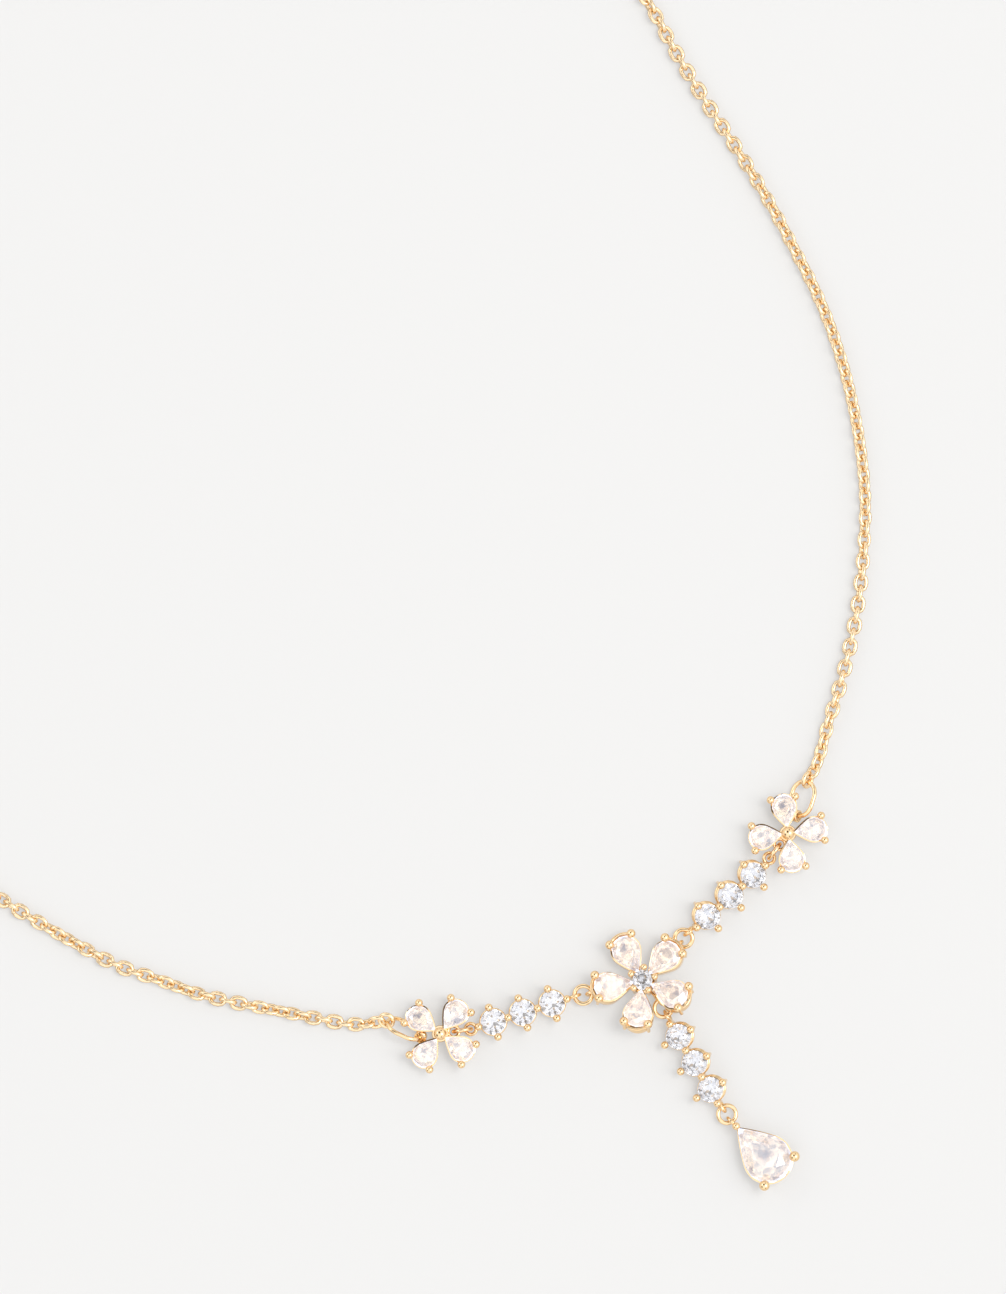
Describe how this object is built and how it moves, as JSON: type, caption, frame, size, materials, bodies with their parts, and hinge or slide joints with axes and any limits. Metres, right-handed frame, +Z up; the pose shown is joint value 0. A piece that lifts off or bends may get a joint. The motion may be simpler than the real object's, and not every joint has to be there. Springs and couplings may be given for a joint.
{
  "type": "y necklace",
  "caption": "Y necklace lying in a loop: fine cable chain, flower stations with pear petals, bars of round stones and a pear drop.",
  "frame": {"origin": "middle of the loop on the surface it lies on, at the bottom centre of its box", "axes": "+Z up off the surface, +Y from the pear drop towards the clasp, +X to the wearer's left-hand side of the picture's right"},
  "size_m": [0.1143, 0.1734, 0.0053],
  "materials": {
    "polished_gold": "pale yellow gold plate, polished",
    "chain_gold": "pale yellow gold plate, polished fine links",
    "petal_stone": "faceted clear stone with a faint rose cast",
    "clear_stone": "faceted clear stone"
  },
  "bodies": {
    "root": {"flower_setting": "polished_gold", "left_flower_setting": "polished_gold", "right_flower_setting": "polished_gold", "left_bar_setting": "polished_gold", "right_bar_setting": "polished_gold", "drop_bar_setting": "polished_gold", "drop_setting": "polished_gold", "left_middle_ring": "polished_gold", "right_middle_ring": "polished_gold", "left_flower_ring": "polished_gold", "right_flower_ring": "polished_gold", "drop_bar_ring": "polished_gold", "drop_ring": "polished_gold", "left_chain_ring": "polished_gold", "right_chain_ring": "polished_gold", "clasp": "polished_gold", "chain_left": "chain_gold", "chain_right": "chain_gold", "flower_petal_1": "petal_stone", "flower_petal_2": "petal_stone", "flower_petal_3": "petal_stone", "flower_petal_4": "petal_stone", "flower_petal_5": "petal_stone", "left_petal_1": "petal_stone", "left_petal_2": "petal_stone", "left_petal_3": "petal_stone", "left_petal_4": "petal_stone", "right_petal_1": "petal_stone", "right_petal_2": "petal_stone", "right_petal_3": "petal_stone", "right_petal_4": "petal_stone", "flower_centre_stone": "clear_stone", "drop_stone": "clear_stone", "left_bar_stone_1": "clear_stone", "left_bar_stone_2": "clear_stone", "left_bar_stone_3": "clear_stone", "right_bar_stone_1": "clear_stone", "right_bar_stone_2": "clear_stone", "right_bar_stone_3": "clear_stone", "drop_bar_stone_1": "clear_stone", "drop_bar_stone_2": "clear_stone", "drop_bar_stone_3": "clear_stone"}
  },
  "joints": []
}
